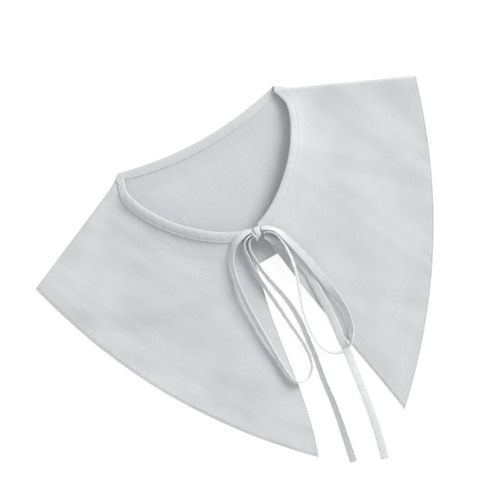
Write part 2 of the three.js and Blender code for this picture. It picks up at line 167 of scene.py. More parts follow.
def makeLights():
    rise = math.radians(studio["keyRise"])
    level = Vector((*studio["keyFrom"], 0)).normalized() * math.cos(rise)
    towards = Vector((level.x, level.y, math.sin(rise)))
    sun = bpy.data.lights.new("keyLight", "SUN")
    sun.energy = studio["keyStrength"]
    sun.angle = math.radians(studio["keySpread"])
    key = bpy.data.objects.new("keyLight", sun)
    key.rotation_euler = towards.to_track_quat("Z", "Y").to_euler()
    bpy.context.scene.collection.objects.link(key)

    world = bpy.data.worlds.new("studio")
    world.use_nodes = True
    sky = world.node_tree.nodes["Background"]
    setSockets(sky, {"Color": (*studio["skyColour"], 1), "Strength": studio["skyStrength"]})
    bpy.context.scene.world = world
    bpy.context.scene.view_settings.view_transform = "Standard"


def makeFloor():
    half = studio["floorSize"] / 2
    corners = [(-half, -half, 0), (half, -half, 0), (half, half, 0), (-half, half, 0)]
    mesh = bpy.data.meshes.new("floor")
    mesh.from_pydata(corners, [], [(0, 1, 2, 3)])
    floor = bpy.data.objects.new("floor", mesh)
    bpy.context.scene.collection.objects.link(floor)
    material = bpy.data.materials.new("paleFloor")
    material.use_nodes = True
    setSockets(material.node_tree.nodes["Principled BSDF"], {
        "Base Color": (*studio["floorColour"], 1),
        "Roughness": 1,
        "Specular IOR Level": 0,
        "Emission Color": (1, 1, 1, 1),
        "Emission Strength": studio["floorGlow"],
    })
    mesh.materials.append(material)


makeCamera()
makeLights()
makeFloor()
print("camera and studio ready")


def newGroup(name, inputs, outputs):
    group = bpy.data.node_groups.new(name, "ShaderNodeTree")
    for label, kind, value in inputs:
        socket = group.interface.new_socket(name=label, in_out="INPUT", socket_type=kind)
        if value is not None:
            socket.default_value = value
    for label, kind in outputs:
        group.interface.new_socket(name=label, in_out="OUTPUT", socket_type=kind)
    return group, group.nodes.new("NodeGroupInput"), group.nodes.new("NodeGroupOutput")


def addMath(tree, kind, first, second=None, third=None):
    node = tree.nodes.new("ShaderNodeMath")
    node.operation = kind
    for place, value in enumerate((first, second, third)):
        if value is None:
            continue
        if isinstance(value, (int, float)):
            node.inputs[place].default_value = value
        else:
            tree.links.new(value, node.inputs[place])
    return node.outputs[0]


def addNoise(tree, vector, scale, detail=3.0, roughness=0.5):
    node = tree.nodes.new("ShaderNodeTexNoise")
    setSockets(node, {"Scale": scale, "Detail": detail, "Roughness": roughness})
    tree.links.new(vector, node.inputs["Vector"])
    return node.outputs["Fac"]


def addStretch(tree, vector, stretch):
    node = tree.nodes.new("ShaderNodeMapping")
    node.inputs["Scale"].default_value = stretch
    tree.links.new(vector, node.inputs["Vector"])
    return node.outputs["Vector"]


def addBump(tree, height, distance):
    node = tree.nodes.new("ShaderNodeBump")
    node.inputs["Distance"].default_value = distance
    tree.links.new(height, node.inputs["Height"])
    return node


def addEffect(tree, group, flat):
    node = tree.nodes.new("ShaderNodeGroup")
    node.node_tree = group
    tree.links.new(flat, node.inputs["Flat"])
    return node


weaveLook = {
    "threads": 2200.0,  # to the metre, where a finish gives no other number
    "slubScale": 900,
    "slubStretch": 0.06,
    "slubShare": 0.6,
    "fuzzScale": 3000,
    "fuzzShare": 0.25,
    "threadTone": 0.35,
}


# Plain weave: threads over and under, uneven threads, and the fine fuzz of cotton
def makeWeaveGroup():
    group, given, made = newGroup(
        "plainWeave",
        [("Flat", "NodeSocketVector", None), ("Threads", "NodeSocketFloat", weaveLook["threads"])],
        [("Height", "NodeSocketFloat"), ("Tone", "NodeSocketFloat")],
    )
    flat = given.outputs["Flat"]
    split = group.nodes.new("ShaderNodeSeparateXYZ")
    group.links.new(flat, split.inputs[0])
    turn = addMath(group, "MULTIPLY", given.outputs["Threads"], math.pi)
    across = addMath(group, "SINE", addMath(group, "MULTIPLY", split.outputs[0], turn))
    along = addMath(group, "SINE", addMath(group, "MULTIPLY", split.outputs[1], turn))
    weave = addMath(group, "MULTIPLY_ADD", addMath(group, "MULTIPLY", across, along), 0.5, 0.5)
    thin = weaveLook["slubStretch"]
    warpSlub = addNoise(group, addStretch(group, flat, (1.0, thin, 1.0)), weaveLook["slubScale"], 2)
    weftSlub = addNoise(group, addStretch(group, flat, (thin, 1.0, 1.0)), weaveLook["slubScale"], 2)
    slub = addMath(group, "ADD", warpSlub, weftSlub)
    fuzz = addNoise(group, flat, weaveLook["fuzzScale"], 3, 0.7)
    fuzzyWeave = addMath(group, "MULTIPLY_ADD", fuzz, weaveLook["fuzzShare"], weave)
    height = addMath(group, "MULTIPLY_ADD", slub, weaveLook["slubShare"], fuzzyWeave)
    group.links.new(height, made.inputs["Height"])
    threadTone = addMath(group, "MULTIPLY", weave, weaveLook["threadTone"])
    tone = addMath(group, "MULTIPLY_ADD", slub, weaveLook["slubShare"], threadTone)
    group.links.new(tone, made.inputs["Tone"])
    return group


# The tone shares of the creases and streaks are painted shade that follows their height
pressedAndShadeLook = {
    "creaseScale": 34,
    "creaseStretch": 0.45,
    "creaseShadeTone": 0.3,
    "cloudScale": 14,
    "cloudTone": 0.4,
    "streakScale": 260,
    "streakStretch": 0.3,
    "streakHeight": 0.06,
    "streakShadeTone": 0.14,
}


# Broad unevenness left by washing and pressing, as height. The tone of the creases and streaks follows that
# height as painted shade, and broad clouds make the tone uneven
def makePressedAndShadeGroup():
    group, given, made = newGroup(
        "pressedClothAndShade",
        [("Flat", "NodeSocketVector", None)],
        [("Height", "NodeSocketFloat"), ("Tone", "NodeSocketFloat")],
    )
    flat = given.outputs["Flat"]
    longCrease = addStretch(group, flat, (1.0, pressedAndShadeLook["creaseStretch"], 1.0))
    creases = addNoise(group, longCrease, pressedAndShadeLook["creaseScale"], 4, 0.55)
    clouds = addNoise(group, flat, pressedAndShadeLook["cloudScale"], 3, 0.5)
    longStreak = addStretch(group, flat, (1.0, pressedAndShadeLook["streakStretch"], 1.0))
    streaks = addNoise(group, longStreak, pressedAndShadeLook["streakScale"], 3, 0.6)
    height = addMath(group, "MULTIPLY_ADD", streaks, pressedAndShadeLook["streakHeight"], creases)
    group.links.new(height, made.inputs["Height"])
    # The tone of the creases and streaks follows their height: painted shade in their hollows and painted
    # light on their ridges
    cloudTone = addMath(group, "MULTIPLY", clouds, pressedAndShadeLook["cloudTone"])
    tone = addMath(group, "MULTIPLY_ADD", creases, pressedAndShadeLook["creaseShadeTone"], cloudTone)
    tone = addMath(group, "MULTIPLY_ADD", streaks, pressedAndShadeLook["streakShadeTone"], tone)
    group.links.new(tone, made.inputs["Tone"])
    return group


# What all the cotton has in common: how its two effects share the tone, and its dull shine
cotton = {
    "pressedAndShadeTone": 0.6,
    "weaveTone": 0.5,
    "darkAt": 0.3,
    "lightAt": 0.9,
    "shine": 0.25,
    "sheenRoughness": 0.6,
}


def makeCottonMaterial(name, finish, weaveGroup, pressedAndShadeGroup):
    material = bpy.data.materials.new(name)
    material.use_nodes = True
    tree = material.node_tree
    shader = tree.nodes["Principled BSDF"]
    place = tree.nodes.new("ShaderNodeUVMap")
    place.uv_map = "flatCloth"
    weave = addEffect(tree, weaveGroup, place.outputs[0])
    weave.inputs["Threads"].default_value = finish["threads"]
    pressedAndShade = addEffect(tree, pressedAndShadeGroup, place.outputs[0])
    weaveTone = addMath(tree, "MULTIPLY", weave.outputs["Tone"], cotton["weaveTone"])
    tone = addMath(tree, "MULTIPLY_ADD", pressedAndShade.outputs["Tone"], cotton["pressedAndShadeTone"], weaveTone)
    ramp = tree.nodes.new("ShaderNodeValToRGB")
    dark, light = ramp.color_ramp.elements
    dark.position, light.position = cotton["darkAt"], cotton["lightAt"]
    dark.color = (*finish["darkColour"], 1)
    light.color = (*finish["lightColour"], 1)
    tree.links.new(tone, ramp.inputs[0])
    tree.links.new(ramp.outputs[0], shader.inputs["Base Color"])
    rough = tree.nodes.new("ShaderNodeMapRange")
    setSockets(rough, {"To Min": finish["roughLow"], "To Max": finish["roughHigh"]})
    tree.links.new(weave.outputs["Height"], rough.inputs["Value"])
    tree.links.new(rough.outputs[0], shader.inputs["Roughness"])
    setSockets(shader, {
        "Specular IOR Level": cotton["shine"],
        "Sheen Weight": finish["sheen"],
        "Sheen Roughness": cotton["sheenRoughness"],
        "Subsurface Weight": finish["glow"],
        "Subsurface Radius": (1.0, 1.0, 1.0),
        "Subsurface Scale": finish["glowReach"],
    })
    crease = addBump(tree, pressedAndShade.outputs["Height"], finish["creaseDepth"])
    thread = addBump(tree, weave.outputs["Height"], finish["threadDepth"])
    tree.links.new(crease.outputs[0], thread.inputs["Normal"])
    tree.links.new(thread.outputs[0], shader.inputs["Normal"])
    return material


clothFinish = {
    "threads": 2200.0,
    "darkColour": (0.612, 0.616, 0.628),
    "lightColour": (0.680, 0.683, 0.694),
    "roughLow": 0.82,
    "roughHigh": 0.94,
    "sheen": 0.12,
    "creaseDepth": 0.001,
    "threadDepth": 0.00005,
    "glow": 0.2,
    "glowReach": 0.0008,
}
tapeFinish = {
    "threads": 2600.0,
    "darkColour": (0.678, 0.682, 0.692),
    "lightColour": (0.738, 0.741, 0.750),
    "roughLow": 0.78,
    "roughHigh": 0.9,
    "sheen": 0.15,
    "creaseDepth": 0.0003,
    "threadDepth": 0.00005,
    "glow": 0.6,
    "glowReach": 0.0014,
}
# The neck binding is duller and lets less light through than the loose ties
bindingFinish = {
    **tapeFinish,
    "darkColour": (0.62, 0.624, 0.636),
    "lightColour": (0.69, 0.693, 0.704),
    "roughLow": 0.8,
    "roughHigh": 0.92,
    "sheen": 0.12,
    "creaseDepth": 0.0004,
    "glow": 0.15,
    "glowReach": 0.0006,
}
threadFinish = {
    "threads": 5200.0,
    "darkColour": (0.66, 0.662, 0.67),
    "lightColour": (0.74, 0.742, 0.75),
    "roughLow": 0.6,
    "roughHigh": 0.75,
    "sheen": 0.1,
    "creaseDepth": 0.0001,
    "threadDepth": 0.00003,
    "glow": 0.3,
    "glowReach": 0.0004,
}
# The stitches of the outer edge get a dark thread colour, darker than the tape's: painted shade along the
# outer edge
shadedHemThreadFinish = {
    **threadFinish,
    "darkColour": (0.34, 0.343, 0.352),
    "lightColour": (0.44, 0.443, 0.452),
    "glow": 0.0,
}
effects = (makeWeaveGroup(), makePressedAndShadeGroup())
cottonCloth = makeCottonMaterial("cottonCloth", clothFinish, *effects)
cottonTape = makeCottonMaterial("cottonTape", tapeFinish, *effects)
bindingTape = makeCottonMaterial("bindingTape", bindingFinish, *effects)
cottonThread = makeCottonMaterial("cottonThread", threadFinish, *effects)
# The dark colour of the hem thread is painted shade along the outer edge
shadedHemThread = makeCottonMaterial("shadedHemThread", shadedHemThreadFinish, *effects)
print("materials ready")


tie = {
    "width": 0.008,
    "thickness": 0.001,
    "stations": 300,
    "cup": 0.0002,
    "stitchPlace": 0.74,  # share of the half width, at the groove of the section
    "stitchRise": 0.35,
    "stitchStations": (6, -3),
    "waviness": 0.00012,
    "edgeWaves": ((520, 0.7), (610, 2.1)),  # pace and phase along the stitched edge and the fold
    "floorGap": 0.0001,
    "pathStep": 3,
}
# Section of the folded and stitched tape: across is -1 at the fold and 1 at the stitched edge,
# and the second number is the share of half the tape's thickness there
tapeSection = [
    (-1.0, 0.0), (-0.985, 0.55), (-0.94, 0.9), (-0.8, 1.0), (-0.5, 1.05), (0.0, 1.0), (0.4, 0.95),
    (0.6, 0.95), (0.68, 0.72), (0.74, 0.35), (0.8, 0.72), (0.86, 1.15), (0.93, 1.15), (0.98, 0.7), (1.0, 0.0),
]

# x, y, z of the tape's middle, the degrees that it leans, and its share of the full width
leftLoopRoute = [
    (-0.0014, -0.0502, 0.0217, -12, 0.45),
    (-0.007, -0.0486, 0.022, -18, 0.72),
    (-0.0142, -0.0494, 0.022, -30, 1),
    (-0.0222, -0.053, 0.0204, -44, 1),
    (-0.0284, -0.0596, 0.0188, -56, 1),
    (-0.0324, -0.0668, 0.0179, -65, 1),
    (-0.0351, -0.075, 0.0171, -68, 1),
    (-0.0371, -0.084, 0.016, -67, 1),
    (-0.0385, -0.095, 0.0146, -65, 1),
    (-0.0395, -0.107, 0.0132, -62, 1),
    (-0.04, -0.12, 0.0122, -58, 1),
    (-0.04, -0.134, 0.0116, -61, 1),
    (-0.0396, -0.148, 0.011, -66, 1),
    (-0.0395, -0.161, 0.0104, -67, 1),
    (-0.0392, -0.173, 0.0097, -69, 1),
    (-0.0384, -0.1825, 0.0092, -74, 1),
    (-0.0368, -0.1905, 0.0087, -80, 1),
    (-0.0332, -0.1968, 0.0078, -85, 1),
    (-0.027, -0.199, 0.0067, -90, 1),
    (-0.0196, -0.1964, 0.0058, -97, 1),
    (-0.0144, -0.1904, 0.0054, -102, 1),
    (-0.0116, -0.1825, 0.0051, -106, 1),
    (-0.0105, -0.173, 0.005, -109, 1),
    (-0.0107, -0.162, 0.0049, -111, 1),
    (-0.0118, -0.151, 0.0049, -112, 1),
    (-0.0129, -0.14, 0.0053, -113, 1),
    (-0.0138, -0.128, 0.0065, -114, 1),
    (-0.015, -0.115, 0.0092, -115, 1),
    (-0.016, -0.102, 0.0124, -113, 1),
    (-0.0168, -0.09, 0.0148, -114, 1),
    (-0.0169, -0.079, 0.0164, -113, 1),
    (-0.0164, -0.069, 0.018, -112, 1),
    (-0.0153, -0.0608, 0.0196, -109, 1),
    (-0.0126, -0.0560, 0.0214, -106, 0.92),
    (-0.0072, -0.0534, 0.0219, -102, 0.72),
    (-0.0016, -0.0532, 0.0216, -98, 0.45),
]
leftTailRoute = [
    (-0.0010, -0.0556, 0.0186, -90, 0.4),
    (-0.0043, -0.0556, 0.0192, -92, 0.65),
    (-0.0077, -0.0574, 0.0194, -92, 0.85),
    (-0.0102, -0.0608, 0.0191, -90, 0.95),
    (-0.0114, -0.0660, 0.0184, -86, 1),
    (-0.0118, -0.0722, 0.0173, -80, 1),
    (-0.0117, -0.0787, 0.0162, -75, 1),
    (-0.0113, -0.0855, 0.0148, -71, 1),
    (-0.0105, -0.0925, 0.013, -67, 1),
    (-0.009, -0.1005, 0.011, -63, 1),
    (-0.0072, -0.109, 0.009, -60, 1),
    (-0.0052, -0.118, 0.0072, -58, 1),
    (-0.0038, -0.127, 0.0059, -56, 1),
    (-0.0031, -0.137, 0.0049, -54, 1),
    (-0.0031, -0.148, 0.0043, -53, 1),
    (-0.0042, -0.159, 0.004, -53, 1),
    (-0.0056, -0.172, 0.0039, -53, 1),
    (-0.0069, -0.184, 0.0039, -53, 1),
    (-0.0092, -0.197, 0.0038, -52, 1),
    (-0.0113, -0.211, 0.0038, -50, 1),
    (-0.0132, -0.229, 0.0036, -46, 1),
    (-0.0158, -0.245, 0.0034, -42, 1),
    (-0.0186, -0.26, 0.0032, -37, 1),
    (-0.0214, -0.275, 0.0029, -32, 1),
    (-0.0241, -0.2886, 0.0026, -28, 1),
]
rightLoopRoute = [
    (0.0074, -0.0562, 0.0197, 44, 0.45),
    (0.0108, -0.0566, 0.02, 72, 0.75),
    (0.0144, -0.0592, 0.0197, 84, 0.95),
    (0.017, -0.063, 0.0189, 86, 1),
    (0.0188, -0.0688, 0.0182, 85, 1),
    (0.0198, -0.0752, 0.0175, 82, 1),
    (0.02, -0.0818, 0.017, 76, 1),
    (0.0195, -0.0886, 0.0163, 73, 1),
    (0.0186, -0.0952, 0.0154, 72, 1),
    (0.0173, -0.1018, 0.014, 73, 1),
    (0.0155, -0.1083, 0.0127, 75, 1),
    (0.0134, -0.1148, 0.0113, 74, 1),
    (0.0112, -0.121, 0.0096, 72, 1),
    (0.0087, -0.1285, 0.0078, 71, 1),
    (0.006, -0.1375, 0.0062, 70, 1),
    (0.004, -0.147, 0.0053, 70, 1),
    (0.0027, -0.1575, 0.0049, 70, 1),
    (0.0023, -0.168, 0.0048, 70, 1),
    (0.0036, -0.1775, 0.0049, 71, 1),
    (0.0068, -0.1844, 0.0054, 72, 1),
    (0.0114, -0.1889, 0.0072, 73, 1),
    (0.017, -0.1914, 0.009, 74, 1),
    (0.0228, -0.1911, 0.0098, 74, 1),
    (0.0284, -0.1886, 0.0097, 76, 1),
    (0.0326, -0.1842, 0.0093, 78, 1),
    (0.0358, -0.1776, 0.0089, 60, 1),
    (0.0376, -0.1698, 0.0085, 42, 1),
    (0.0394, -0.161, 0.0089, 48, 1),
    (0.0394, -0.151, 0.0096, 46, 1),
    (0.0383, -0.141, 0.0102, 34, 1),
    (0.0366, -0.131, 0.0109, 20, 1),
    (0.0350, -0.1205, 0.0118, 8, 1),
    (0.0335, -0.1105, 0.0127, 0, 1),
    (0.0318, -0.1005, 0.0136, -4, 1),
    (0.0298, -0.0915, 0.0146, -6, 0.96),
    (0.0277, -0.0838, 0.0156, -9, 0.9),
    (0.0257, -0.0768, 0.0164, -14, 0.84),
    (0.0236, -0.0698, 0.0172, -24, 0.8),
    (0.0211, -0.0632, 0.0184, -44, 0.84),
    (0.0173, -0.0578, 0.0199, -64, 0.9),
    (0.0126, -0.0540, 0.0213, -50, 0.8),
    (0.0072, -0.0521, 0.0216, -14, 0.45),
]
rightTailRoute = [
    (0.0066, -0.06, 0.0167, 8, 0.5),
    (0.0102, -0.0644, 0.0152, 8, 0.7),
    (0.0136, -0.0702, 0.0138, 6, 0.85),
    (0.0174, -0.079, 0.0121, -4, 1),
    (0.021, -0.0885, 0.01085, -8, 1),
    (0.0242, -0.099, 0.0094, -10, 1),
    (0.0262, -0.11, 0.0091, -12, 1),
    (0.0264, -0.122, 0.0088, -14, 1),
    (0.0261, -0.134, 0.0082, -14, 1),
    (0.0259, -0.146, 0.0077, -14, 1),
    (0.0253, -0.157, 0.008, -12, 1),
    (0.0244, -0.167, 0.0082, -10, 1),
    (0.0232, -0.176, 0.0077, -8, 1),
    (0.0226, -0.184, 0.0052, -4, 1),
    (0.0224, -0.191, 0.0027, 2, 1),
    (0.0216, -0.2, 0.0022, 8, 1),
    (0.0198, -0.214, 0.0021, 15, 1),
    (0.0176, -0.231, 0.0019, 13, 1),
    (0.0152, -0.248, 0.0017, 8, 1),
    (0.0123, -0.264, 0.0014, 4, 1),
    (0.0089, -0.28, 0.0012, 1, 1),
    (0.0037, -0.3004, 0.0011, -2, 1),
]

# Weighted mean of two points of a curve, at places t between two of its knots
def mixKnots(t, low, high, first, last):
    return (high - t) / (high - low) * first + (t - low) / (high - low) * last


# Centripetal Catmull-Rom through the points: even steps of the curve and where they fall in the list
def smoothRoute(points, count, samples=24):
    points = np.asarray(points, float)
    first = 2 * points[0] - points[1]
    last = 2 * points[-1] - points[-2]
    padded = np.vstack([first, points, last])
    dense, places = [], []
    for i in range(len(points) - 1):
        p = padded[i : i + 4]
        k = [0.0]
        for a, b in zip(p[:-1], p[1:]):
            k.append(k[-1] + max(np.linalg.norm(b - a) ** 0.5, 1e-6))
        t = np.linspace(k[1], k[2], samples, endpoint=i == len(points) - 2)[:, None]
        sides = [mixKnots(t, k[j], k[j + 1], p[j], p[j + 1]) for j in range(3)]
        halves = [mixKnots(t, k[j], k[j + 2], sides[j], sides[j + 1]) for j in range(2)]
        dense.append(mixKnots(t, k[1], k[2], *halves))
        places.append(i + (t[:, 0] - k[1]) / (k[2] - k[1]))
    dense, places = np.vstack(dense), np.concatenate(places)
    run = runAlong(dense)
    even = np.linspace(0, run[-1], count)
    return rowsAt(even, run, dense), np.interp(even, run, places), run[-1]


# Rings of a section along a line: out and up are its places across and over the line
def sweptRings(middle, across, face, out, up, along):
    points = middle[:, None] + across[:, None] * out[..., None] + face[:, None] * up[..., None]
    flat = np.stack([out + flatStart["tape"], np.broadcast_to(along[:, None], out.shape)], -1)
    return points, tubeFaces(*out.shape), flat.reshape(-1, 2)


# A tape's middle, its across and face directions, its half width, and its length
def tapeFrames(route):
    rows = np.asarray(route, float)
    middle, places, length = smoothRoute(toRow(rows[:, :3]), tie["stations"])
    row = np.minimum(places.astype(int), len(rows) - 2)
    between = smoothStep(0, 1, places - row)
    roll = np.radians(lerp(rows[row, 3], rows[row + 1, 3], between))
    halfWidth = tie["width"] / 2 * lerp(rows[row, 4], rows[row + 1, 4], between)
    tangent = unit(np.gradient(middle, axis=0))
    level = unit(np.stack([tangent[:, 1], -tangent[:, 0], np.zeros(len(middle))], 1))
    upward = np.cross(level, tangent)
    across = level * np.cos(roll)[:, None] + upward * np.sin(roll)[:, None]
    face = unit(np.cross(across, tangent))
    return middle, across, face, halfWidth, length


def sweptTape(middle, across, face, halfWidth, length, flip):
    top = [(a * flip, h) for a, h in tapeSection]
    at, lift = np.array(top + [(a, -h) for a, h in top[-2:0:-1]]).T
    along = np.linspace(0, length, len(middle))
    # Slight cupping of the tape and a light waviness of its two edges
    cup = -tie["cup"] * at ** 2
    (turn, phase), (foldTurn, foldPhase) = tie["edgeWaves"]
    sway = tie["waviness"] * (
        np.sin(along * turn + phase)[:, None] * np.maximum(at, 0)
        + np.sin(along * foldTurn + foldPhase)[:, None] * np.maximum(-at, 0)
    )
    up = lift * tie["thickness"] / 2 + cup + sway
    points, faces, flat = sweptRings(middle, across, face, halfWidth[:, None] * at, up, along)
    points[..., 2] = np.maximum(points[..., 2], tie["floorGap"])
    return points.reshape(-1, 3), faces, flat


stitch = {
    "length": 0.0021,
    "gap": 0.0006,
    "width": 0.00042,
    "sink": 0.25,
}
stitchSides = 6
# Share of a stitch's length, its thickness there, and how far it dips into the cloth
stitchShape = [
    (0, 0.25, 1.0), (0.12, 0.8, 0.3), (0.35, 1.0, 0.0), (0.65, 1.0, 0.0), (0.88, 0.8, 0.3), (1.0, 0.25, 1.0),
]
stitchDip = 0.45


# Short raised threads along a line, each lying on the cloth whose outward direction is given
def stitchLine(line, outward, size=stitch):
    run = runAlong(line)
    count = int(run[-1] / (size["length"] + size["gap"]))
    starts = (np.arange(count) + 0.5) * run[-1] / count - size["length"] / 2
    shares, thick, dip = np.array(stitchShape).T
    radii = thick * size["width"] / 2
    drop = dip * size["width"] * stitchDip
    angles = np.arange(stitchSides) * 2 * math.pi / stitchSides
    points, faces, flat = [], [], []
    for start in starts:
        at = start + shares * size["length"]
        centre = rowsAt(at, run, line)
        up = unit(rowsAt(at, run, outward))
        side = unit(np.cross(unit(np.gradient(centre, axis=0)), up))
        centre = centre + up * (size["width"] * (0.5 - size["sink"]) - drop)[:, None]
        faces += tubeFaces(len(shares), stitchSides, len(points))
        for c, u, s, r, a in zip(centre, up, side, radii, at):
            for angle in angles:
                points.append(c + s * (math.cos(angle) * r) + u * (math.sin(angle) * r))
                flat.append((angle * r + flatStart["thread"], a))
    return points, faces, flat


# flip is 1 where the stitched edge lies to the right along the route, and -1 where it lies to the left
def makeTie(name, node, route, flip):
    middle, across, face, halfWidth, length = tapeFrames(route)
    points, faces, flat = sweptTape(middle, across, face, halfWidth, length, flip)
    piece = makePiece(name, points, faces, cottonTape, flat)
    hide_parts(node)
    # Stitching shows on both faces of the tape, just inside its stitched edge
    place = tie["stitchPlace"] * flip
    inner = slice(*tie["stitchStations"])
    parts = []
    for side in (1, -1):
        lift = side * tie["stitchRise"] * tie["thickness"] / 2 - tie["cup"] * place ** 2
        line = middle + across * (halfWidth * place)[:, None] + face * lift
        parts.append(stitchLine(line[inner], face[inner] * side))
    points, faces, flat = joinParts(parts)
    stitches = makePiece(name + "Stitches", points, faces, cottonThread, flat)


makeTie("leftLoop", "bow_loop_left", leftLoopRoute, -1)
makeTie("rightLoop", "bow_loop_right", rightLoopRoute, 1)
makeTie("leftTail", "tie_tail_left", leftTailRoute, -1)
makeTie("rightTail", "tie_tail_right", rightTailRoute, 1)
print("ties laid")


# The folded body. Side is -1 on the left and 1 on the right.
# Round the body run five strips: left front, left fold, back, right fold and right front.
stripCount = 5
body = {
    "neckHalfWidth": 0.087, "neckWidestY": 0.0393, "neckDrop": 0.0878, "neckPower": 1.5,
    "frontSplitX": 0.003, "frontEndGap": 0.007, "shoulderNeckY": 0.0548,
    "backNeckY": 0.0482, "backNeckPower": 2.2,
    "cornerHalfSpan": 0.206, "backHemDepth": 0.0803, "backHemPower": 3.4,
    "frontLength": 0.2684, "hemBulge": 0.0218,
    "tipX": {-1: -0.0504, 1: 0.043},
    "frontBow": {-1: 0.013, 1: -0.0042},
    "lowerBow": {-1: -0.007, 1: 0.0},
    "cornerRise": 0.0043, "cornerRisePower": 1.8, "cornerRiseShare": 0.14,
    "leftTuck": 0.0034, "leftTuckFrom": 0.04, "leftTuckShare": 0.085, "leftTuckSpread": 0.055,
}
lie = {
    "halfCloth": 0.0006, "layerGap": 0.0006, "foldReachNeck": 0.0022, "foldReachCorner": 0.0025,
    "shoulderPuffNeck": 0.0023, "shoulderPuffCorner": 0.0022, "shoulderPuffReach": 0.022,
    "neckLip": 0.0056, "neckLipReach": 0.0095, "lipFlatReach": 0.024,
    "lipByKnot": 0.5, "lipByKnotReach": 0.034,
    "neckRise": 0.004, "neckRiseReach": 0.026,
    "knotRise": 0.008, "knotRiseReach": 0.105, "hemStepRun": 0.02,
    "foldFlatShare": 0.2, "foldFlatReach": 0.065,
    "backLip": 0.0038, "backLipReach": 0.026, "backFlatStartX": 0.035, "backFlatShare": 0.36,
    "swellHeight": 0.0024, "waveHeight": 0.00048, "waveBend": 1.3, "waveBendPace": 0.31,
    "quietReach": 0.05, "quietFromY": -0.26, "quietToY": -0.2, "quietShare": 0.85,
    "backWaveShare": 0.25, "backWaveTurn": 0.6,
}
# side, share of cornerHalfSpan across, share of frontLength down, spread, share of swellHeight
swells = [
    (-1, 0.38, 0.22, 0.16, 1.5), (-1, 0.3, 0.62, 0.13, 1), (-1, 0.7, 0.16, 0.09, 0.8),
    (1, 0.52, 0.3, 0.12, 1), (1, 0.27, 0.66, 0.12, 0.7), (1, 0.75, 0.2, 0.08, 0.6),
]
# Soft uneven waves of the cloth: direction in degrees, length of a wave, share of waveHeight, phase
waves = [
    (12, 0.061, 1.0, 0.4), (74, 0.083, 1.1, 2.3), (131, 0.047, 0.7, 4.4), (160, 0.071, 0.9, 1.2),
    (48, 0.037, 0.45, 5.1), (100, 0.029, 0.3, 3.0), (24, 0.023, 0.2, 0.9),
]


def frontEndX(side):
    return body["frontSplitX"] + side * body["frontEndGap"] / 2


def neckPoint(side, angle):
    power = 2 / body["neckPower"]
    rise = np.sign(np.sin(angle)) * np.abs(np.sin(angle)) ** power
    out = np.abs(np.cos(angle)) ** power
    return np.stack([side * body["neckHalfWidth"] * out, body["neckWidestY"] - body["neckDrop"] * rise], -1)


def neckAngles(side):
    half = body["neckPower"] / 2
    endShare = side * frontEndX(side) / body["neckHalfWidth"]
    bottom = math.acos(math.copysign(abs(endShare) ** half, endShare))
    top = -math.asin(((body["shoulderNeckY"] - body["neckWidestY"]) / body["neckDrop"]) ** half)
    return bottom, top


# The shoulder line, from the neck at share 0 to the corner at share 1
def shoulderBase(side, share):
    neck = neckPoint(side, np.float64(neckAngles(side)[1]))
    corner = np.array([side * body["cornerHalfSpan"], 0.0])
    return neck + (corner - neck) * np.asarray(share)[..., None]


def shoulderOut(side):
    along = unit(shoulderBase(side, 1.0) - shoulderBase(side, 0.0))
    return np.array([-along[1] * side, along[0] * side])


def backNeckLine(x):
    end = shoulderBase(1, 0.0)
    return body["backNeckY"] + (end[1] - body["backNeckY"]) * np.abs(x / end[0]) ** body["backNeckPower"]


# Beside the fold the back neck edge stands out a little past the front one
def backNeckRise(x, t):
    share = np.abs(x / shoulderBase(1, 0.0)[0]) ** body["cornerRisePower"]
    return body["cornerRise"] * share * (1 - smoothStep(0, body["cornerRiseShare"], t))


def backHemLine(x):
    return -body["backHemDepth"] * (1 - np.abs(x / body["cornerHalfSpan"]) ** body["backHemPower"])


# How far a place lies past the outer edge of the back panel
def pastBackHem(x, y):
    share = np.abs(x / body["cornerHalfSpan"])
    power = body["backHemPower"]
    slope = body["backHemDepth"] * power / body["cornerHalfSpan"] * share ** (power - 1)
    return (backHemLine(x) - y) / np.hypot(1, slope)


# How far out a place lies from the front neck edge, near enough
def fromNeck(x, y):
    power = body["neckPower"]
    across = np.abs(x / body["neckHalfWidth"]) ** power
    down = np.abs((y - body["neckWidestY"]) / body["neckDrop"]) ** power
    return np.maximum(0, (across + down) ** (1 / power) - 1) * body["neckHalfWidth"]


def swellAt(x, y):
    height = 0
    for side, across, along, spread, rise in swells:
        away = np.hypot(x - side * across * body["cornerHalfSpan"], y + along * body["frontLength"])
        height = height + rise * lie["swellHeight"] * bell(away / (spread * body["frontLength"]))
    return height


# Waves fade out under the bow, so that the ties keep lying on the cloth
def waveAt(x, y, turned=0.0):
    height = 0
    for degrees, length, share, phase in waves:
        angle = math.radians(degrees) + turned
        run = (x * math.cos(angle) + y * math.sin(angle)) * 2 * math.pi / length
        bend = lie["waveBend"] * np.sin(run * lie["waveBendPace"] + phase * 2)
        height = height + share * np.sin(run + phase + bend)
    nearBow = bell((x - body["frontSplitX"]) / lie["quietReach"])
    nearBow = nearBow * smoothStep(lie["quietFromY"], lie["quietToY"], y)
    return lie["waveHeight"] * height * (1 - lie["quietShare"] * nearBow)


